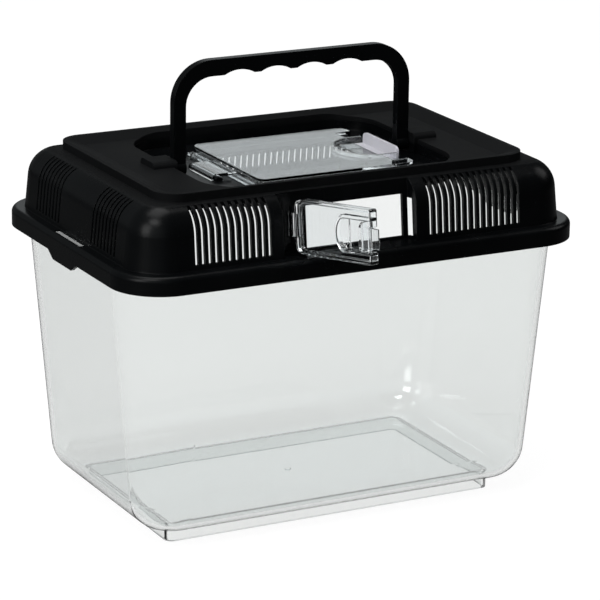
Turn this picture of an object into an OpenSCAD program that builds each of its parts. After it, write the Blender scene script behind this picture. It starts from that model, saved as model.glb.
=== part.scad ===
// Clear plastic keeper for small animals with a black ventilated lid.
// The origin is on the floor under the middle of the tub, +Z is up and the front faces -Y.

/* [Lid skirt] */
// Length of the lid over its skirt
lid_l = 230; // [224:1:240]
// Width of the lid over its skirt
lid_w = 153.2; // [150:0.2:158]
// Corner radius of the skirt
lid_corner = 23.8; // [23.2:0.2:26]
// Wall thickness of the lid
lid_wall = 1.8; // [1.4:0.1:2.1]
// Height of the skirt's lower edge above the floor
skirt_z = 125.5; // [115:0.5:135]
// Height of the skirt band
skirt_h = 8.5; // [7.5:0.5:10]
// Rounding of the skirt's upper edge
skirt_round = 2.5; // [1.5:0.1:3]
// Width of the ledge between the skirt's face and the foot of the dome
ledge_w = 6.1; // [5.8:0.1:6.6]
// Half width of the drop tab under the skirt at each end
drop_b = 10; // [8:0.5:12]
// Depth of the drop tab under the skirt
drop_h = 3.5; // [2:0.5:5]
// Length of the drop tab's sloped sides
drop_slope = 5.6; // [3:0.2:7]

/* [Lid dome] */
// Height of the dome above the ledge
dome_h = 27.8; // [26:0.1:30]
// Radius of the dome's shoulder
dome_r = 13.5; // [12.5:0.1:14]
// Inward lean of the dome's wall in degrees
dome_draft = 5.7; // [4:0.1:6.5]

/* [Tray] */
// Distance from the skirt's end face to the lip's outer face
lip_in_x = 22.35; // [21.2:0.05:24]
// Distance from the skirt's front face to the lip's outer face
lip_in_y = 18.25; // [17.6:0.05:18.8]
// Corner radius of the lip
lip_corner = 11.5; // [11:0.1:13]
// Height of the lip above the dome
lip_h = 3.6; // [3.2:0.1:4.4]
// Width of the lip's flat top
lip_flat = 2.2; // [1.6:0.1:2.6]
// Width from the lip's outer face to the flat floor of the tray
dish_w = 10.3; // [9.5:0.1:10.9]
// Depth of the tray's floor below the lip
dish_d = 2.4; // [2:0.1:2.8]
// Distance from a leg's outer face to the end of the racetrack pocket
pocket_past = 2.5; // [2.1:0.1:3.5]
// Half width of the racetrack pocket
pocket_b = 52; // [51.4:0.1:52.6]
// Corner radius of the racetrack pocket
pocket_r = 21; // [20:0.5:22]
// Depth of the racetrack pocket below the tray's floor
pocket_d = 6.8; // [6.4:0.1:7.2]

/* [Vents] */
// Width of a vent slot
vent_w = 1.5; // [1.2:0.1:1.7]
// Distance between the slots of the front and back
vent_pitch = 3.24; // [3:0.02:3.5]
// Farthest distance of the front and back slots from the middle
vent_far = 81.7; // [76:0.1:84]
// Height of the slots' lower ends above the ledge
vent_up = 2; // [1.5:0.1:4]
// Distance from the skirt's face to the slots' upper ends
vent_in = 15.6; // [14:0.1:16.2]
// Solid margin between the front pocket and the nearest slot
vent_margin = 5; // [4:0.1:6]
// Distance between the slots of an end group
vent_end_pitch = 3.5; // [3:0.05:3.7]
// Distance from the middle to the nearest slot of an end group
vent_end_near = 18.2; // [15:0.1:19]
// Number of slots in an end group
vent_end_count = 8; // [4:1:8]

/* [Front pocket] */
// Distance of the front pocket's left wall left of the middle
front_left = 39.2; // [36:0.1:41]
// Distance of the front pocket's right wall right of the middle
front_right = 27.5; // [27.4:0.1:29]
// Distance from the skirt's face to the foot of the pocket's back wall
front_in = 13.8; // [13.6:0.1:14.4]
// Backward lean of the pocket's back wall in degrees
front_lean = 6.5; // [5.5:0.1:7.5]
// Distance of the front window's left edge left of the middle
window_left = 23.5; // [18:0.1:24.2]
// Distance of the front window's right edge right of the middle
window_right = 24.8; // [18:0.1:25.6]
// Height of the front window
window_h = 19.3; // [16:0.1:20]
// Height of the front window above the ledge
window_up = 0.8; // [0.5:0.1:2]
// Height of the front latch slot
front_slot_h = 17.6; // [14:0.2:19]
// Height of the front latch slot above the ledge
front_slot_up = 0.6; // [0.4:0.1:2]
// Distance from the pocket's right wall to the front latch slot's edge inside the pocket
front_slot_in = 0.2; // [0.1:0.1:0.5]
// Opening of the front latch slot away from the back wall's face
front_slot_w = 3.8; // [3.4:0.1:4.2]

/* [Handle] */
// Gap between the top latch's catch and a leg
leg_clear = 3.6; // [3:0.1:4.6]
// Reach of the handle from its pivot to the top of the grip
handle_h = 49; // [46:0.5:50]
// Width of a leg seen from the front
leg_w = 6; // [5:0.1:6.4]
// Thickness of the handle from front to back
handle_t = 4.2; // [3.6:0.1:4.6]
// Outer radius of the handle's upper corners
handle_r = 19; // [17:0.5:20]
// Inner radius of the handle's upper corners
handle_in_r = 13; // [11:0.5:14]
// Thickness of the grip between the finger scallops
grip_t = 7.6; // [7:0.1:8]
// Distance between finger scallops
finger_pitch = 18.4; // [17.5:0.1:18.8]
// Width of a finger scallop
finger_w = 15; // [12:0.5:16]
// Depth of a finger scallop
finger_d = 2; // [1.2:0.1:2.4]
// Radius of the eye at a leg's foot
eye_r = 3.2; // [3:0.1:3.4]
// Radius of the pivot pins
pin_r = 2.4; // [2:0.1:2.6]
// Length of a pivot pin beyond its leg
pin_l = 9; // [6:0.5:9.5]
// Depth of the pivot below the tray's floor
pivot_d = 2.6; // [2.4:0.1:2.9]
// Length of a pivot boss along its pin
boss_l = 11.8; // [11.2:0.1:12.4]
// Half width of a pivot boss
boss_b = 7.2; // [6.5:0.1:8]
// Height of a pivot boss above the tray's floor
boss_h = 2.8; // [2.6:0.1:3.2]
// Rounding of a pivot boss's upper edges
boss_r = 2.4; // [1.5:0.1:2.6]

/* [Door mouldings] */
// Thickness of a door's panel
panel_t = 1.4; // [1.2:0.1:1.6]
// Thickness of a door's rim and well walls
rim_t = 1.4; // [1.2:0.1:1.6]
// Depth of a door from its face to the inner edge of its rim
door_d = 4.3; // [4:0.1:4.6]
// Corner radius of a door
door_r = 4; // [3:0.1:5]
// Width of the flange along a door's hinge side
flange_w = 2.8; // [2:0.1:3]
// Radius of a door's hinge clip
clip_r = 2.5; // [2.4:0.1:2.6]
// Radius of the lid's hinge bars
bar_r = 1.3; // [1.1:0.1:1.4]
// Depth of the hinge bars below a door's face
bar_d = 4.4; // [4.2:0.1:4.6]
// Height of a latch tongue above a door's face
tongue_up = 2.2; // [1.8:0.1:3]
// Thickness of a latch tongue
tongue_t = 1.4; // [1.2:0.1:1.6]
// Length of a latch tongue's foot up to its outer face
tongue_foot = 5.75; // [4.5:0.05:7]
// Rounding of a latch tongue's upper corners
tongue_r = 2.4; // [1:0.1:3]
// Reach of a latch's nib beyond its tongue
nib_l = 1.1; // [0.8:0.1:1.3]
// Height of a latch's nib
nib_h = 2; // [1.5:0.1:2.2]
// Height of a latch's nib above the floor that its door closes on
nib_up = 1.2; // [1:0.1:1.4]
// Height of the nib's blunt edge
nib_edge = 0.6; // [0.3:0.1:1]
// Wall thickness of the cup behind the front hinge
cup_wall = 1.2; // [1:0.1:1.6]
// Width of the mouth of a hinge clip
clip_mouth = 2; // [1.6:0.1:2.2]
// Radius of the lugs that carry a hinge bar
lug_r = 1.8; // [1.6:0.1:1.9]
// Width of a lug that carries a hinge bar
lug_w = 2.2; // [1.5:0.1:2.6]
// Width of the fold groove across a well's floor
groove_w = 0.8; // [0.5:0.1:1]
// Depth of the fold groove across a well's floor
groove_d = 0.5; // [0.3:0.1:0.7]

/* [Top door] */
// Distance of the top hinge bar left of the middle
top_hinge = 43.6; // [43.4:0.1:44]
// Distance from the top hinge bar to the top door's rim
top_edge = 9.9; // [9.5:0.1:10.2]
// Length of the top door's panel
top_l = 79.8; // [78:0.2:80]
// Width of the top door
top_w = 71; // [66:0.5:72]
// Width of the top door's hinge clip
top_clip_w = 23; // [18:0.5:24]
// Length of the top finger well
top_well_l = 21.5; // [18:0.5:23]
// Width of the top finger well
top_well_w = 33; // [30:0.5:34]
// Radius of the top finger well's round end
top_well_r = 18; // [17.5:0.5:20]
// Distance from the top door's free edge to its fold groove
top_groove = 13; // [8:0.5:16]
// Width of the top latch's nib
top_nib_w = 14; // [8:0.5:20]
// Rounding of the top door's free corners
top_free_r = 4.5; // [1:0.5:5]
// Depth of the relief notches beside the top tongue
top_relief_l = 8; // [4:0.5:9]
// Width of a relief notch beside the top tongue
top_relief_w = 10; // [4:0.5:11]
// Left edge of the hatch opening, left of the middle
hatch_left = 30; // [26:0.5:31]
// Right edge of the hatch opening, right of the middle
hatch_right = 38; // [34:0.5:40]
// Half width of the hatch opening
hatch_b = 26; // [22:0.5:28]
// Corner radius of the hatch opening
hatch_r = 4; // [1:0.5:6]
// Thickness of the top latch's catch
catch_t = 1.6; // [1.2:0.1:2]
// Width of the catch's frame beside and over its window
catch_rim = 1.4; // [1:0.1:2]

/* [Front door] */
// Distance of the front hinge bar left of the middle
front_hinge = 30.2; // [30.1:0.1:31]
// Distance from the front hinge bar to the front door's rim
front_edge = 6; // [5:0.1:6.4]
// Length of the front door's panel
front_l = 48.8; // [45:0.1:49]
// Height of the front door along its lean
front_w = 24.2; // [22:0.1:24.4]
// Height of the front door's middle above the ledge
front_mid = 12.9; // [12.8:0.1:13.4]
// Width of the front door's hinge clip
front_clip_w = 10.6; // [9:0.1:11.6]
// Length of the front finger well
front_well_l = 22.2; // [18:0.1:23]
// Width of the front finger well
front_well_w = 13.6; // [12:0.2:15]
// Radius of the front finger well's round end
front_well_r = 8.4; // [7.6:0.1:9]
// Distance from the front door's free edge to its fold groove
front_groove = 16.2; // [11:0.1:17]
// Width of the front latch's nib
front_nib_w = 9; // [5:0.2:9.4]
// Distance of the front nib's middle below the door's middle
front_nib_down = 1; // [0:0.1:1]
// Height of the front latch's nib above the floor that its door closes on
front_nib_up = 0.55; // [0.4:0.05:0.8]
// Height of the front latch's nib
front_nib_h = 1.6; // [1.2:0.1:1.8]
// Rise of the front latch's nib where it passes the rim, when it is pressed
front_nib_rise = 0.8; // [0.6:0.1:1]
// Distance from the door's free edge to the front tongue
front_tongue_in = 3.4; // [2.2:0.1:4]
// Rounding of the front door's free corners
front_free_r = 1; // [0.4:0.2:4]
// Angle at which the front door stands open
front_open = 76.6; // [0:0.1:100]

/* [Tub] */
// Wall thickness of the tub
tub_wall = 2; // [1.6:0.1:2.2]
// Corner radius of the tub's rim
rim_corner = 32.8; // [32:0.1:34]
// Reach of the rim flange beyond the wall
rim_out = 2.2; // [1.6:0.1:2.8]
// Height of the rim flange
rim_h = 3; // [2:0.1:4]
// Inward lean of the tub's wall in degrees
tub_draft = 4.9; // [4.5:0.1:5.2]
// Outer radius of the rounded bottom edge
belly_r = 16; // [14:0.5:17]
// Height of the foot ring
foot_h = 6.4; // [4:0.2:8]
// Corner radius of the foot ring
foot_corner = 4; // [3.4:0.1:4.8]
// Radius of the gate mark under the tub's floor
gate_r = 1.4; // [1:0.1:2]
// Height of the gate mark
gate_h = 0.5; // [0.3:0.1:0.8]
// Half width of the upright tongues at the rim's ends
rim_tongue_b = 14; // [10:0.5:14.5]
// Thickness of the upright tongues
rim_tongue_t = 2.4; // [2:0.1:2.6]
// Distance of the upright tongues from the rim flange's edge
rim_tongue_in = 0.7; // [0.5:0.1:0.8]
// Depth of the upright tongues' tops below the ledge's face
rim_tongue_down = 0.5; // [0.2:0.1:1]

/* [Fits] */
// Gap between the rim flange and the skirt
skirt_gap = 0.4; // [0.3:0.05:0.6]
// Radial clearance of the handle's pins in their bores
pin_gap = 0.05; // [0.03:0.01:0.1]
// Radial clearance of the hinge clips on their bars
bar_gap = 0.08; // [0.05:0.01:0.12]
// Gap between a leg's outer face and its boss
leg_gap = 0.5; // [0.4:0.05:0.6]
// Gap between a closed door and the lid
door_gap = 0.35; // [0.3:0.05:0.45]
// Gap around a latch tongue
tongue_gap = 0.35; // [0.3:0.05:0.45]
// Gap around an upright tongue in its slot
slot_gap = 0.35; // [0.3:0.05:0.45]
// Gap around a hinge clip in its hole
clip_gap = 0.5; // [0.4:0.05:0.6]
// Gap around a latch's nib in its slot
nib_gap = 0.6; // [0.4:0.05:0.7]

/* [Hidden] */
$fn = 64;
over = 1;
least_r = 0.1;
lid_a = lid_l / 2;
lid_b = lid_w / 2;
ledge_z = skirt_z + skirt_h;
seat_z = ledge_z - lid_wall;
dome_z = ledge_z + dome_h;
dome_cz = dome_z - dome_r;
dome_rise = dome_h - dome_r + dome_r * sin(dome_draft);
dome_u = lid_corner - ledge_w - dome_rise * tan(dome_draft) - dome_r * cos(dome_draft);
lip_a = lid_a - lip_in_x;
lip_b = lid_b - lip_in_y;
lip_z = dome_z + lip_h;
tray_z = lip_z - dish_d;
pocket_z = tray_z - pocket_d;
vent_z = ledge_z + vent_up;
pivot_z = tray_z - pivot_d;
floor_d = door_d + door_gap;
top_bar_z = pocket_z + floor_d - bar_d;
top_free = top_edge + top_l;
top_tongue = top_free + tongue_gap + tongue_t;
top_nib = top_tongue + nib_l;
front_free = front_edge + front_l;
front_tongue = front_free - front_tongue_in;
front_nib = front_hinge + front_right - door_gap;
catch_x = top_nib + door_gap;
leg_x = catch_x + catch_t - top_hinge + leg_clear + leg_w;
boss_x = leg_x + leg_gap;
pocket_a = leg_x + pocket_past;
door_base = bar_d - door_d;
door_floor = bar_d - floor_d;
front_y = front_in - lid_b;
front_bar_z = ledge_z + front_mid;
front_bar_y = front_y + front_mid * tan(front_lean) - (floor_d - bar_d) / cos(front_lean);
rim_a = lid_a - lid_wall - skirt_gap;
rim_b = lid_b - lid_wall - skirt_gap;
tongue_x = rim_a - rim_tongue_in - rim_tongue_t;
belly_z = foot_h + belly_r;
belly_fall = seat_z - belly_z + belly_r * sin(tub_draft);
belly_u = rim_corner - rim_out - belly_fall * tan(tub_draft) - belly_r * cos(tub_draft);
clear_color = [0.86, 0.9, 0.92, 0.35];
black_color = [0.07, 0.07, 0.075];

// A block whose edge follows a 2D outline given as a child. The outline lies in x >= 0,
// where x = 0 is the axis of the rounded corners and x = r is the block's face.
module edged_block(a, b, r, z0, z1) {
  for (x = [-1, 1], y = [-1, 1])
    translate([x * (a - r), y * (b - r), 0]) rotate_extrude() children();
  for (m = [0, 1]) {
    mirror([0, m, 0]) translate([r - a, b - r, 0]) rotate([90, 0, 90])
      linear_extrude(2 * (a - r)) children();
    mirror([m, 0, 0]) translate([a - r, b - r, 0]) rotate([90, 0, 0])
      linear_extrude(2 * (b - r)) children();
  }
  translate([r - a, r - b, z0]) cube([2 * (a - r), 2 * (b - r), z1 - z0]);
}

// A plate with rounded corners, centred on the axis
module round_plate(a, b, r, z0, z1) {
  translate([0, 0, z0]) linear_extrude(z1 - z0) {
    square([2 * a, 2 * (b - r)], center = true);
    square([2 * (a - r), 2 * b], center = true);
    for (x = [-1, 1], y = [-1, 1])
      translate([x * (a - r), y * (b - r)]) circle(r);
  }
}

// Outline of the drafted dome wall and its round shoulder, moved inward by some distance
module dome_outline(inset, z0) {
  r = dome_r - inset;
  touch_u = dome_u + r * cos(dome_draft);
  touch_z = dome_cz + r * sin(dome_draft);
  foot_u = touch_u + (touch_z - z0) * tan(dome_draft);
  polygon([[0, z0], [foot_u, z0], [touch_u, touch_z], [dome_u, dome_cz], [dome_u, dome_cz + r],
    [0, dome_cz + r]]);
  translate([dome_u, dome_cz]) intersection() {
    circle(r);
    square(r);
  }
}

// Outline of the whole lid
module lid_outline() {
  translate([0, skirt_z]) square([lid_corner, skirt_h - skirt_round]);
  translate([0, skirt_z]) square([lid_corner - skirt_round, skirt_h]);
  translate([lid_corner - skirt_round, ledge_z - skirt_round]) circle(skirt_round);
  dome_outline(0, skirt_z);
}

// Outline of the space under the lid
module lid_hollow_outline() {
  translate([0, skirt_z - over]) square([lid_corner - lid_wall, seat_z - skirt_z + over]);
  dome_outline(lid_wall, skirt_z - over);
}

// Section of the front pocket, from its back wall out past the skirt
module front_section(z0, z1, back) {
  y0 = front_y + (z0 - ledge_z) * tan(front_lean) + back;
  y1 = front_y + (z1 - ledge_z) * tan(front_lean) + back;
  polygon([[-lid_b - over, z0], [y0, z0], [y1, z1], [-lid_b - over, z1]]);
}

// The front pocket's shape, grown by some wall thickness
module front_block(wall, z1) {
  translate([-front_left - wall, 0, 0]) rotate([90, 0, 90])
    linear_extrude(front_left + front_right + 2 * wall)
      front_section(ledge_z - wall, z1, wall / cos(front_lean));
}

// Places a child in the frame of the front hinge: x along the closed door, y up the bar, z outward
module at_front_hinge() {
  translate([-front_hinge, front_bar_y, front_bar_z]) rotate([90 - front_lean, 0, 0]) children();
}

// Places a child in the frame of the top hinge, with the same axes
module at_top_hinge() {
  translate([-top_hinge, 0, top_bar_z]) children();
}

// The open space under the lid, less what stands in it
module lid_hollow() {
  difference() {
    union() {
      edged_block(lid_a, lid_b, lid_corner, skirt_z - over, dome_z - lid_wall) lid_hollow_outline();
      round_plate(lip_a - lid_wall, lip_b - lid_wall, lip_corner - lid_wall, dome_cz, tray_z - lid_wall);
    }
    round_plate(pocket_a + lid_wall, pocket_b + lid_wall, pocket_r + lid_wall, pocket_z - lid_wall, lip_z);
    front_block(lid_wall, dome_z);
  }
}

// A pivot boss beside a leg's foot
module boss() {
  z0 = pocket_z - lid_wall;
  z1 = tray_z + boss_h;
  translate([boss_x, 0, 0]) rotate([90, 0, 90]) linear_extrude(boss_l) {
    translate([-boss_b, z0]) square([2 * boss_b, z1 - boss_r - z0]);
    translate([boss_r - boss_b, z0]) square([2 * (boss_b - boss_r), z1 - z0]);
    for (y = [-1, 1])
      translate([y * (boss_b - boss_r), z1 - boss_r]) circle(boss_r);
  }
}

// The dish inside the lip
module dish() {
  edged_block(lip_a, lip_b, lip_corner, tray_z, lip_z + over)
    polygon([[0, tray_z], [lip_corner - dish_w, tray_z], [lip_corner - lip_flat, lip_z],
      [lip_corner - lip_flat, lip_z + over], [0, lip_z + over]]);
}

// One slot through the dome's front wall, at some distance from the middle
module vent(x, face) {
  translate([x - vent_w / 2, -face - over, vent_z]) cube([vent_w, vent_in + over, dome_z - vent_z + over]);
}

// All slots in the dome
module vents() {
  for (x = [-vent_far : vent_pitch : vent_far]) {
    mirror([0, 1, 0]) vent(x, lid_b);
    if (x < -front_left - vent_margin || x > front_right + vent_margin) vent(x, lid_b);
  }
  for (turn = [-90, 90], side = [-1, 1], i = [0 : vent_end_count - 1])
    rotate([0, 0, turn]) vent(side * (vent_end_near + i * vent_end_pitch), lid_a);
}

// Drop tab under the skirt at one end
module drop_tab() {
  translate([lid_a - lid_wall, 0, 0]) rotate([90, 0, 90]) linear_extrude(lid_wall)
    polygon([[-drop_b - drop_slope, skirt_z + over], [-drop_b - drop_slope, skirt_z],
      [-drop_b, skirt_z - drop_h], [drop_b, skirt_z - drop_h], [drop_b + drop_slope, skirt_z],
      [drop_b + drop_slope, skirt_z + over]]);
}

// Slot in the ledge for one of the tub's upright tongues
module tongue_slot() {
  translate([tongue_x - slot_gap, -rim_tongue_b - slot_gap, seat_z - over])
    cube([rim_tongue_t + 2 * slot_gap, 2 * (rim_tongue_b + slot_gap), lid_wall + 2 * over]);
}

// Hole for a hinge clip, in a hinge's frame
module clip_hole(clip_w) {
  translate([-clip_r - clip_gap, -clip_w / 2 - clip_gap, door_floor - lid_wall - over])
    cube([2 * (clip_r + clip_gap), clip_w + 2 * clip_gap, lid_wall + 2 * over]);
}

// Hinge bar with the lug at each of its ends, in a hinge's frame
module hinge_bar(clip_w) {
  lug_y = clip_w / 2 + clip_gap;
  rotate([90, 0, 0]) cylinder(r = bar_r, h = 2 * lug_y + lug_w, center = true);
  for (side = [0, 1]) mirror([0, side, 0]) {
    translate([0, lug_y + lug_w, 0]) rotate([90, 0, 0]) cylinder(r = lug_r, h = lug_w);
    translate([-lug_r, lug_y, door_floor - lid_wall]) cube([2 * lug_r, lug_w, lid_wall - door_floor]);
  }
}

// Blind cup behind a hinge clip's hole, in a hinge's frame
module hinge_cup(clip_w) {
  half_x = clip_r + clip_gap;
  half_y = clip_w / 2 + clip_gap;
  z = -clip_r - clip_gap - cup_wall;
  difference() {
    translate([-half_x - cup_wall, -half_y - cup_wall, z])
      cube([2 * (half_x + cup_wall), 2 * (half_y + cup_wall), door_floor - lid_wall / 2 - z]);
    translate([-half_x, -half_y, z + cup_wall]) cube([2 * half_x, 2 * half_y, door_floor - z]);
  }
}

// Catch on the pocket's floor for the top latch, in the top hinge's frame
module top_catch() {
  half = top_nib_w / 2 + nib_gap;
  window_h = nib_h + 2 * nib_gap;
  z = door_floor + nib_up - nib_gap;
  difference() {
    translate([catch_x, -half - catch_rim, door_floor - lid_wall])
      cube([catch_t, 2 * (half + catch_rim), z + window_h + catch_rim - door_floor + lid_wall]);
    translate([catch_x - over, -half, z]) cube([catch_t + 2 * over, 2 * half, window_h]);
  }
}

// Slot in the front pocket's right wall for the front latch, in the front hinge's frame
module front_slot() {
  z = door_floor - lid_wall;
  translate([front_hinge + front_right - front_slot_in, front_slot_up - front_mid, z - over])
    cube([front_slot_in + lid_wall + over, front_slot_h, over + lid_wall + front_slot_w]);
}

// Window in the front pocket's back wall
module window() {
  reach = over + 2 * lid_wall + (window_up + window_h) * tan(front_lean);
  translate([-window_left, front_y - over, ledge_z + window_up])
    cube([window_left + window_right, reach, window_h]);
}

// Hatch opening in the tray pocket's floor
module hatch() {
  half = (hatch_right + hatch_left) / 2;
  translate([half - hatch_left, 0, 0])
    round_plate(half, hatch_b, hatch_r, pocket_z - lid_wall - over, pocket_z + over);
}

// Bore for one of the handle's pins
module pin_bore() {
  translate([boss_x - over, 0, pivot_z]) rotate([0, 90, 0])
    cylinder(r = pin_r + pin_gap, h = pin_l + over);
}

// The ventilated lid
module lid() color(black_color) {
  difference() {
    union() {
      difference() {
        union() {
          edged_block(lid_a, lid_b, lid_corner, skirt_z, dome_z) lid_outline();
          round_plate(lip_a, lip_b, lip_corner, dome_cz, lip_z);
        }
        lid_hollow();
        dish();
        round_plate(pocket_a, pocket_b, pocket_r, pocket_z, lip_z + over);
        front_block(0, dome_z + over);
        window();
        hatch();
        vents();
        at_top_hinge() clip_hole(top_clip_w);
        at_front_hinge() clip_hole(front_clip_w);
        at_front_hinge() front_slot();
        for (side = [0, 1]) mirror([side, 0, 0]) tongue_slot();
      }
      at_top_hinge() hinge_bar(top_clip_w);
      at_top_hinge() top_catch();
      at_front_hinge() hinge_bar(front_clip_w);
      at_front_hinge() hinge_cup(front_clip_w);
      for (side = [0, 1]) mirror([side, 0, 0]) {
        boss();
        drop_tab();
      }
    }
    for (side = [0, 1]) mirror([side, 0, 0]) pin_bore();
  }
}

// Outline of the drafted tub wall and its rounded bottom edge, moved inward by some distance
module wall_outline(inset, top_z) {
  r = belly_r - inset;
  touch_u = belly_u + r * cos(tub_draft);
  touch_z = belly_z - r * sin(tub_draft);
  top_u = touch_u + (top_z - touch_z) * tan(tub_draft);
  polygon([[0, belly_z - r], [belly_u, belly_z - r], [belly_u, belly_z], [touch_u, touch_z],
    [top_u, top_z], [0, top_z]]);
  translate([belly_u, belly_z]) intersection() {
    circle(r);
    translate([0, -r]) square(r);
  }
}

// Outline of the tub's outside with its rim flange
module tub_outline() {
  wall_outline(0, seat_z);
  translate([0, seat_z - rim_h]) square([rim_corner, rim_h]);
}

// The clear tub
module tub() color(clear_color) {
  foot_a = rim_a - rim_corner + foot_corner;
  foot_b = rim_b - rim_corner + foot_corner;
  difference() {
    union() {
      edged_block(rim_a, rim_b, rim_corner, foot_h, seat_z) tub_outline();
      round_plate(foot_a, foot_b, foot_corner, 0, foot_h + tub_wall);
    }
    edged_block(rim_a, rim_b, rim_corner, foot_h + tub_wall, seat_z + over)
      wall_outline(tub_wall, seat_z + over);
    round_plate(foot_a - tub_wall, foot_b - tub_wall, foot_corner - tub_wall, -over, foot_h);
  }
  translate([0, 0, foot_h - gate_h]) cylinder(r = gate_r, h = gate_h + tub_wall / 2);
  for (side = [0, 1]) mirror([side, 0, 0])
    translate([tongue_x, -rim_tongue_b, seat_z - rim_h])
      cube([rim_tongue_t, 2 * rim_tongue_b, rim_h + lid_wall - rim_tongue_down]);
}

// Rounded arch standing on the pivot axis
module arch(a, h, r, z0) {
  translate([-a, z0]) square([2 * a, h - r - z0]);
  translate([r - a, z0]) square([2 * (a - r), h - z0]);
  for (x = [-1, 1])
    translate([x * (a - r), h - r]) circle(r);
}

// The carry handle, upright
module handle() color(black_color) translate([0, 0, pivot_z]) {
  grip_under = handle_h - grip_t;
  finger_r = (finger_w * finger_w / 4 + finger_d * finger_d) / (2 * finger_d);
  translate([0, handle_t / 2, 0]) rotate([90, 0, 0]) linear_extrude(handle_t) difference() {
    arch(leg_x, handle_h, handle_r, 0);
    arch(leg_x - leg_w, grip_under, handle_in_r, -over);
    for (i = [-1.5 : 1.5])
      translate([i * finger_pitch, grip_under + finger_d - finger_r]) circle(finger_r);
  }
  for (side = [0, 1]) mirror([side, 0, 0]) {
    translate([leg_x - leg_w, 0, 0]) rotate([0, 90, 0]) cylinder(r = eye_r, h = leg_w);
    translate([leg_x - leg_w, 0, 0]) rotate([0, 90, 0]) cylinder(r = pin_r, h = leg_w + pin_l);
  }
}

// Outline of a door's panel between two stations, with its own radius at each end
module door_outline(x0, x1, half, r0, r1) {
  translate([x0 + r0, -half]) square([x1 - r1 - x0 - r0, 2 * half]);
  translate([x0, r0 - half]) square([r0 + over, 2 * (half - r0)]);
  translate([x1 - r1 - over, r1 - half]) square([r1 + over, 2 * (half - r1)]);
  for (y = [-1, 1]) {
    translate([x0 + r0, y * (half - r0)]) circle(r0);
    translate([x1 - r1, y * (half - r1)]) circle(r1);
  }
}

// Outline of a finger well, round towards the hinge and open at the free edge
module well_outline(free, l, half, r, grow, past) {
  mid = free - l + r;
  intersection() {
    union() {
      translate([mid, 0]) circle(r + grow);
      translate([mid, -half - grow]) square([free + past - mid, 2 * (half + grow)]);
    }
    translate([free - l - grow, -half - grow]) square([l + grow + past, 2 * (half + grow)]);
  }
}

// A door without its tongue, in its hinge's frame
module door(edge, free, half, free_r, clip_w, well_l, well_w, well_r, groove, tongue_x0, well_end) {
  hollow_r = max(free_r - rim_t, least_r);
  difference() {
    union() {
      difference() {
        translate([0, 0, door_base]) linear_extrude(door_d) door_outline(edge, free, half, door_r, free_r);
        translate([0, 0, door_base - over]) linear_extrude(door_d - panel_t + over)
          door_outline(edge + rim_t, free - rim_t, half - rim_t, door_r - rim_t, hollow_r);
      }
      translate([0, 0, door_base]) linear_extrude(door_d)
        well_outline(free, well_l, well_w / 2, well_r, rim_t, 0);
      translate([edge - flange_w, door_r / 2 - half, door_base])
        cube([flange_w + rim_t, 2 * half - door_r, panel_t]);
      translate([0, -clip_w / 2, clip_r - panel_t]) cube([edge + rim_t, clip_w, panel_t]);
      rotate([90, 0, 0]) cylinder(r = clip_r, h = clip_w, center = true);
    }
    translate([0, 0, door_base + panel_t]) linear_extrude(door_d)
      well_outline(free, well_l, well_w / 2, well_r, 0, well_end - free);
    translate([tongue_x0, -well_w / 2, door_base - over]) cube([well_end - tongue_x0, well_w, door_d]);
    translate([free - groove - groove_w / 2, -well_w / 2, door_base + panel_t - groove_d])
      cube([groove_w, well_w, groove_d + over]);
    rotate([90, 0, 0]) cylinder(r = bar_r + bar_gap, h = clip_w + 2 * over, center = true);
    translate([-clip_mouth / 2, -clip_w / 2 - over, -clip_r - over])
      cube([clip_mouth, clip_w + 2 * over, clip_r + over]);
  }
}

// A latch tongue with its foot and nib, in its door's hinge frame. Its outer face is at x.
module tongue(x, well_w, nib_x, nib_w, nib_t, up, down) {
  half = well_w / 2 - tongue_gap;
  top = bar_d + tongue_up;
  z = door_floor + up;
  translate([x - tongue_foot, -half, door_base]) cube([tongue_foot, 2 * half, panel_t]);
  translate([x - tongue_t, 0, 0]) rotate([90, 0, 90]) linear_extrude(tongue_t) {
    translate([-half, door_base]) square([2 * half, top - tongue_r - door_base]);
    translate([tongue_r - half, door_base]) square([2 * (half - tongue_r), top - door_base]);
    for (y = [-1, 1])
      translate([y * (half - tongue_r), top - tongue_r]) circle(tongue_r);
  }
  translate([0, nib_w / 2 - down, 0]) rotate([90, 0, 0]) linear_extrude(nib_w)
    polygon([[x, z], [nib_x, z + nib_t - nib_edge], [nib_x, z + nib_t], [x, z + nib_t]]);
}

// The clear hatch in the tray, closed
module top_door() color(clear_color) at_top_hinge() difference() {
  door(top_edge, top_free, top_w / 2, top_free_r, top_clip_w, top_well_l, top_well_w, top_well_r,
    top_groove, top_tongue - tongue_foot, top_free + over);
  for (side = [0, 1]) mirror([0, side, 0])
    translate([top_free - top_relief_l, top_well_w / 2 + rim_t, door_base - over])
      cube([top_relief_l + over, top_relief_w, door_d + 2 * over]);
}

// The top hatch's latch tongue
module top_latch() color(clear_color) at_top_hinge()
  tongue(top_tongue, top_well_w, top_nib, top_nib_w, nib_h, nib_up, 0);

// The clear door in the front pocket, standing open
module front_door() color(clear_color) at_front_hinge() rotate([0, -front_open, 0]) difference() {
  notch_top = door_floor + front_nib_up + front_nib_h + front_nib_rise + nib_gap;
  notch_w = front_well_w / 2 + front_nib_w / 2 - front_nib_down + nib_gap;
  door(front_edge, front_free, front_w / 2, front_free_r, front_clip_w, front_well_l, front_well_w,
    front_well_r, front_groove, front_tongue - tongue_foot, front_free - rim_t);
  translate([front_free - rim_t - over, -front_well_w / 2, door_base - over])
    cube([rim_t + 2 * over, notch_w, notch_top - door_base + over]);
}

// The front door's latch tongue
module front_latch() color(clear_color) at_front_hinge() rotate([0, -front_open, 0])
  tongue(front_tongue, front_well_w, front_nib, front_nib_w, front_nib_h, front_nib_up, front_nib_down);

tub();
lid();
handle();
top_door();
top_latch();
front_door();
front_latch();
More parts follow.
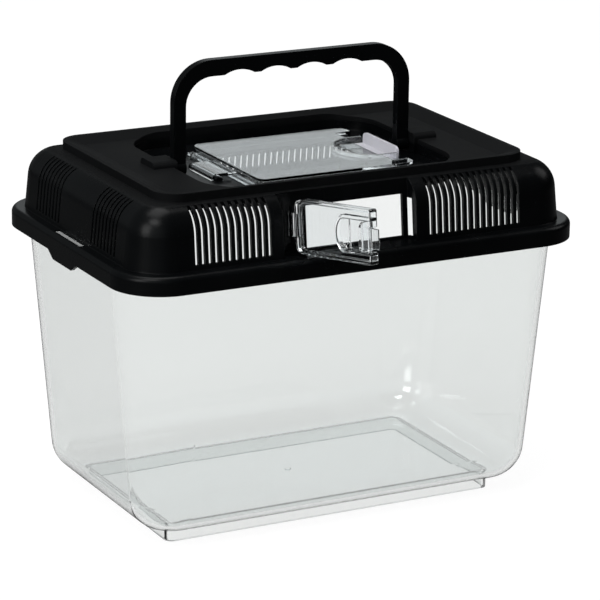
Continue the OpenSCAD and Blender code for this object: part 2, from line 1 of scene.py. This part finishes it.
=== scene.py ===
import math

import bpy
from mathutils import Matrix, Vector


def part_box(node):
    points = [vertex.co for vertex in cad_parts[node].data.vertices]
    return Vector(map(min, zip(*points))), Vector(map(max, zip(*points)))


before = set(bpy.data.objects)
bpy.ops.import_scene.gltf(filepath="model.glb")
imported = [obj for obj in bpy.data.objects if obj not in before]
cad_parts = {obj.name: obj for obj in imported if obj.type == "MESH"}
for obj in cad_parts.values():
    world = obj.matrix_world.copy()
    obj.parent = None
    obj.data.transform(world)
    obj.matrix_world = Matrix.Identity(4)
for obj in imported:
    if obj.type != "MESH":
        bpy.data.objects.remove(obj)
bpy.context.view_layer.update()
scene = bpy.context.scene
MM = 0.001


def point(x, y, z):
    """A place given in millimetres, in metres."""
    return Vector((x * MM, y * MM, z * MM))


# Camera at the photograph's angle

AZIMUTH, ELEVATION, ROLL = math.radians(-27.8), math.radians(16.87), math.radians(0.8)
TARGET = point(2.58, -6.04, 92.16)
DISTANCE = 1477.4 * MM
LENS, SENSOR = 190.7, 36
NEAR, FAR = 0.05, 50


def make_camera():
    back = Vector((math.sin(AZIMUTH) * math.cos(ELEVATION), -math.cos(AZIMUTH) * math.cos(ELEVATION),
                   math.sin(ELEVATION)))
    level = Vector((math.cos(AZIMUTH), math.sin(AZIMUTH), 0))
    upward = back.cross(level)
    right = math.cos(ROLL) * level + math.sin(ROLL) * upward
    up = math.cos(ROLL) * upward - math.sin(ROLL) * level
    data = bpy.data.cameras.new("camera")
    data.lens = LENS
    data.sensor_width = SENSOR
    data.clip_start, data.clip_end = NEAR, FAR
    camera = bpy.data.objects.new("camera", data)
    scene.collection.objects.link(camera)
    turn = Matrix((right, up, back)).transposed().to_4x4()
    camera.matrix_world = Matrix.Translation(TARGET + back * DISTANCE) @ turn
    scene.camera = camera


# Node trees

BEVEL_SAMPLES = 4


class Graph:
    """A node tree, built call by call."""

    def __init__(self, owner, output):
        owner.use_nodes = True
        self.tree = owner.node_tree
        self.tree.nodes.clear()
        self.output = self.add(output)

    def add(self, kind, inputs=None, **settings):
        node = self.tree.nodes.new(kind)
        for key, value in settings.items():
            setattr(node, key, value)
        for key, value in (inputs or {}).items():
            if isinstance(value, bpy.types.NodeSocket):
                self.tree.links.new(value, node.inputs[key])
            else:
                node.inputs[key].default_value = value
        return node

    def place(self):
        return self.add("ShaderNodeTexCoord").outputs["Object"]

    def split(self, vector):
        return self.add("ShaderNodeSeparateXYZ", {0: vector}).outputs

    def noise(self, place, scale, detail, rough):
        node = self.add("ShaderNodeTexNoise", {"Vector": place, "Scale": scale, "Detail": detail,
                                               "Roughness": rough})
        return node.outputs["Fac"]

    def remap(self, value, from_low, from_high, to_low, to_high):
        node = self.add("ShaderNodeMapRange", {"Value": value, "From Min": from_low, "From Max": from_high,
                                               "To Min": to_low, "To Max": to_high})
        return node.outputs["Result"]

    def step(self, value, edge, softness, low, high):
        """low where value is below edge, high above it, and soft in between."""
        return self.remap(value, edge - softness, edge + softness, low, high)

    def math(self, kind, a, b):
        return self.add("ShaderNodeMath", {0: a, 1: b}, operation=kind).outputs[0]

    def blend(self, share, a, b):
        return self.add("ShaderNodeMix", {0: share, 2: a, 3: b}).outputs[0]

    def tint(self, share, a, b):
        return self.add("ShaderNodeMix", {0: share, 6: (*a, 1), 7: (*b, 1)}, data_type="RGBA").outputs[2]

    def rounded(self, radius):
        """A normal that makes the edges look rounded by radius."""
        return self.add("ShaderNodeBevel", {"Radius": radius}, samples=BEVEL_SAMPLES).outputs["Normal"]

    def glow(self, way, centre, inner, outer, strength):
        """A soft patch of light around the direction centre: full within inner degrees, none past
        outer."""
        near = self.add("ShaderNodeVectorMath", {0: way, 1: Vector(centre).normalized()},
                        operation="DOT_PRODUCT")
        return self.remap(near.outputs["Value"], math.cos(math.radians(outer)),
                          math.cos(math.radians(inner)), 0, strength)

    def bump(self, height, distance, normal, strength):
        node = self.add("ShaderNodeBump", {"Height": height, "Distance": distance, "Strength": strength,
                                           "Normal": normal})
        return node.outputs["Normal"]

    def finish(self, shader):
        self.tree.links.new(shader.outputs[0], self.output.inputs["Surface"])


def new_material(name):
    material = bpy.data.materials.new(name)
    return material, Graph(material, "ShaderNodeOutputMaterial")


# Materials

# Scales count features per metre. A noise's values lie mostly within NOISE_SPREAD.

NOISE_SPREAD = (0.3, 0.7)
BLACKS = (0.0009, 0.0011, 0.0013), (0.0019, 0.0022, 0.0025)
BLACK_ROUGH = (0.24, 0.32)
BLACK_EDGE = 0.5 * MM
BLACK_IOR, CLEAR_IOR = 1.5, 1.49
FLOW_SCALE, FLOW_DEPTH = 26, 0.25 * MM
GRAIN_SCALE, GRAIN_DEPTH = 1900, 0.015 * MM
TRAY_SCALE, TRAY_DEPTH = 900, 0.03 * MM
TRAY_DULLER = 0.46              # added to the tray's roughness
TRAY_FROM = 161.0 * MM
WAVE_SCALE = 14
SCUFF_SCALE, SCUFF_ROUGH = 90, 0.022
# Painted light on the tub's end tongues: how clear they stay where they turn milky, so the lamps light
# them in place of light carried along the walls.
PIPED_LIGHT_CLEARNESS = 0.7
TONGUE_PIPED_LIGHT = 1.5 * MM         # how far down the tub's end tongues get painted light: a milky finish, lit by the lamps, for light carried along the walls
SOFTNESS = 0.3 * MM             # of a change from one finish to the next


def black_plastic(name, shine, tray_from=None):
    """Black moulded plastic with a fine spark-eroded grain, soft flow marks and rounded edges. Above the
    height tray_from the grain is coarser and duller."""
    material, g = new_material(name)
    place = g.place()
    grain = g.noise(place, GRAIN_SCALE, 3, 0.6)
    flow = g.noise(place, FLOW_SCALE, 3, 0.5)
    normal = g.bump(flow, FLOW_DEPTH, g.rounded(BLACK_EDGE), 0.3)
    rough = g.remap(flow, *NOISE_SPREAD, *BLACK_ROUGH)
    if tray_from is None:
        normal = g.bump(grain, GRAIN_DEPTH, normal, 0.5)
    else:
        tray = g.step(g.split(place)["Z"], tray_from, SOFTNESS, 0, 1)
        rough = g.math("ADD", rough, g.math("MULTIPLY", tray, TRAY_DULLER))
        coarse = g.noise(place, TRAY_SCALE, 3, 0.6)
        normal = g.bump(g.blend(tray, grain, coarse), TRAY_DEPTH, normal, g.remap(tray, 0, 1, 0.3, 0.9))
    g.finish(g.add("ShaderNodeBsdfPrincipled", {
        "Base Color": g.tint(g.remap(flow, *NOISE_SPREAD, 0, 1), *BLACKS), "Roughness": rough,
        "Normal": normal, "IOR": BLACK_IOR, "Specular IOR Level": shine}))
    return material


def clear_plastic(name, tint, edge, waviness, rough=0.008, clearness=1.0, piped_light_from=None):
    """Clear polished plastic with slight waves in its walls and rounded edges. Above the height given as
    its last argument it is partly milky, so that lamps light it: painted light in place of the light that
    its walls carry."""
    material, g = new_material(name)
    place = g.place()
    normal = g.bump(g.noise(place, WAVE_SCALE, 2, 0.4), waviness, g.rounded(edge), 1.0)
    worn = g.remap(g.noise(place, SCUFF_SCALE, 3, 0.55), *NOISE_SPREAD, rough, rough + SCUFF_ROUGH)
    # Painted light: above that height the wall turns partly milky, so the lamps light it as if light were
    # carried along the walls.
    if piped_light_from is not None:
        clearness = g.step(g.split(place)["Z"], piped_light_from, SOFTNESS, clearness, PIPED_LIGHT_CLEARNESS)
    g.finish(g.add("ShaderNodeBsdfPrincipled", {
        "Base Color": (*tint, 1), "Roughness": worn, "Normal": normal, "IOR": CLEAR_IOR,
        "Transmission Weight": clearness}))
    return material


def dress(node, material):
    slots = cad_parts[node].data.materials
    slots.clear()
    slots.append(material)


# Studio

FLOOR_REACH = 6                 # from the middle to each edge
FLOOR_GREY = (0.1, 0.1, 0.1, 1)  # dark, so that it hardly lights the lid from below
FLOOR_SEEN = 0.94               # glow towards the camera, where a strength of 1 is white
FLOOR_SEEN_THROUGH = 0.88       # the same through the clear walls
LIGHT_LEFT, LIGHT_RIGHT = 0.3, 0.01

# Patches of light: the direction, the degrees around it that are full and those past which there is
# none, and the strength. The first is what level faces mirror, such as the tray.

LOW_BEHIND = (0.446, 0.8465, 0.290), 7, 17, 0.7
LEFT_FRONT = (-0.65, -0.745, 0.21), 10, 35, 0.8

# Seen through a clear wall, the strength falls between these heights of a direction.

OVERHEAD = (0.3, 0.9), (1, 0.35)
COOL, WHITE = (0.93, 0.985, 1.0), (1.0, 1.0, 1.0)


def make_floor():
    corners = [(x * FLOOR_REACH, y * FLOOR_REACH, 0) for x, y in ((-1, -1), (1, -1), (1, 1), (-1, 1))]
    mesh = bpy.data.meshes.new("floor")
    mesh.from_pydata(corners, [], [(0, 1, 2, 3)])
    floor = bpy.data.objects.new("floor", mesh)
    scene.collection.objects.link(floor)
    material, g = new_material("studio_floor")
    rays = g.add("ShaderNodeLightPath").outputs
    seen = g.math("ADD", g.math("MULTIPLY", rays["Is Camera Ray"], FLOOR_SEEN),
                  g.math("MULTIPLY", rays["Is Transmission Ray"], FLOOR_SEEN_THROUGH))
    diffuse = g.add("ShaderNodeBsdfDiffuse", {"Color": FLOOR_GREY})
    glow = g.add("ShaderNodeEmission", {"Strength": seen})
    g.finish(g.add("ShaderNodeAddShader", {0: diffuse.outputs[0], 1: glow.outputs[0]}))
    mesh.materials.append(material)


def make_world():
    """White where it is looked at. What lights the object is brighter at the left and low behind it,
    as in the photograph, and what shows through the clear walls is darker overhead."""
    world = bpy.data.worlds.new("studio")
    scene.world = world
    g = Graph(world, "ShaderNodeOutputWorld")
    way = g.add("ShaderNodeTexCoord").outputs["Generated"]
    rays = g.add("ShaderNodeLightPath").outputs
    light = g.math("ADD", g.remap(g.split(way)["X"], -1, 1, LIGHT_LEFT, LIGHT_RIGHT),
                   g.glow(way, *LOW_BEHIND))
    light = g.math("ADD", light, g.glow(way, *LEFT_FRONT))
    heights, strengths = OVERHEAD
    through = g.remap(g.split(way)["Z"], *heights, *strengths)
    strength = g.blend(rays["Is Transmission Ray"], light, through)
    strength = g.blend(rays["Is Camera Ray"], strength, 1.0)
    colour = g.tint(rays["Is Camera Ray"], COOL, WHITE)
    g.finish(g.add("ShaderNodeBackground", {"Color": colour, "Strength": strength}))


def lamp(name, place, aim, width, height, power):
    """A soft box at place, in metres, turned towards aim, with its power in watts."""
    data = bpy.data.lights.new(name, "AREA")
    data.shape = "RECTANGLE"
    data.size, data.size_y = width, height
    data.energy = power
    light = bpy.data.objects.new(name, data)
    scene.collection.objects.link(light)
    light.location = place
    light.rotation_mode = "QUATERNION"
    light.rotation_quaternion = (Vector(aim) - Vector(place)).to_track_quat("-Z", "Y")


def make_lamps():
    middle = (0, 0, 0.1)
    lamp("left_box", (-1.6, -0.55, 0.75), middle, 0.7, 1.0, 17)
    lamp("front_box", (-0.74, -0.56, 1.25), middle, 0.6, 0.45, 9)
    lamp("top_box", (-0.1, 0.2, 1.8), middle, 1.3, 1.0, 20)
    lamp("right_box", (1.3, -0.2, 1.1), middle, 0.8, 0.8, 5)


make_camera()
lid_black = black_plastic("lid_black", shine=0.08, tray_from=TRAY_FROM)
handle_black = black_plastic("handle_black", shine=0.06)
tongue_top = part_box("tub")[1][2]
# The tub's end tongues get painted light: a milky top that the lamps light, in place of light carried
# along the walls.
tub_clear = clear_plastic("tub_clear", (0.885, 0.899, 0.893), 0.5 * MM, 0.15 * MM,
                          piped_light_from=tongue_top - TONGUE_PIPED_LIGHT)
door_clear = clear_plastic("door_clear", (0.935, 0.957, 0.966), 0.35 * MM, 0.05 * MM)
# The top latch's lavender tint and its milky, rougher finish are a painted reflection of bright light
# behind it, laid over clear plastic.
latch_clear = clear_plastic("latch_clear", (0.80, 0.79, 0.84), 0.35 * MM, 0.05 * MM,
                            rough=0.35, clearness=0.6)
dress("lid", lid_black)
dress("handle", handle_black)
dress("tub", tub_clear)
for part in ("top_door", "front_door", "front_latch"):
    dress(part, door_clear)
dress("top_latch", latch_clear)
make_floor()
make_world()
make_lamps()
scene.view_settings.view_transform = "Standard"
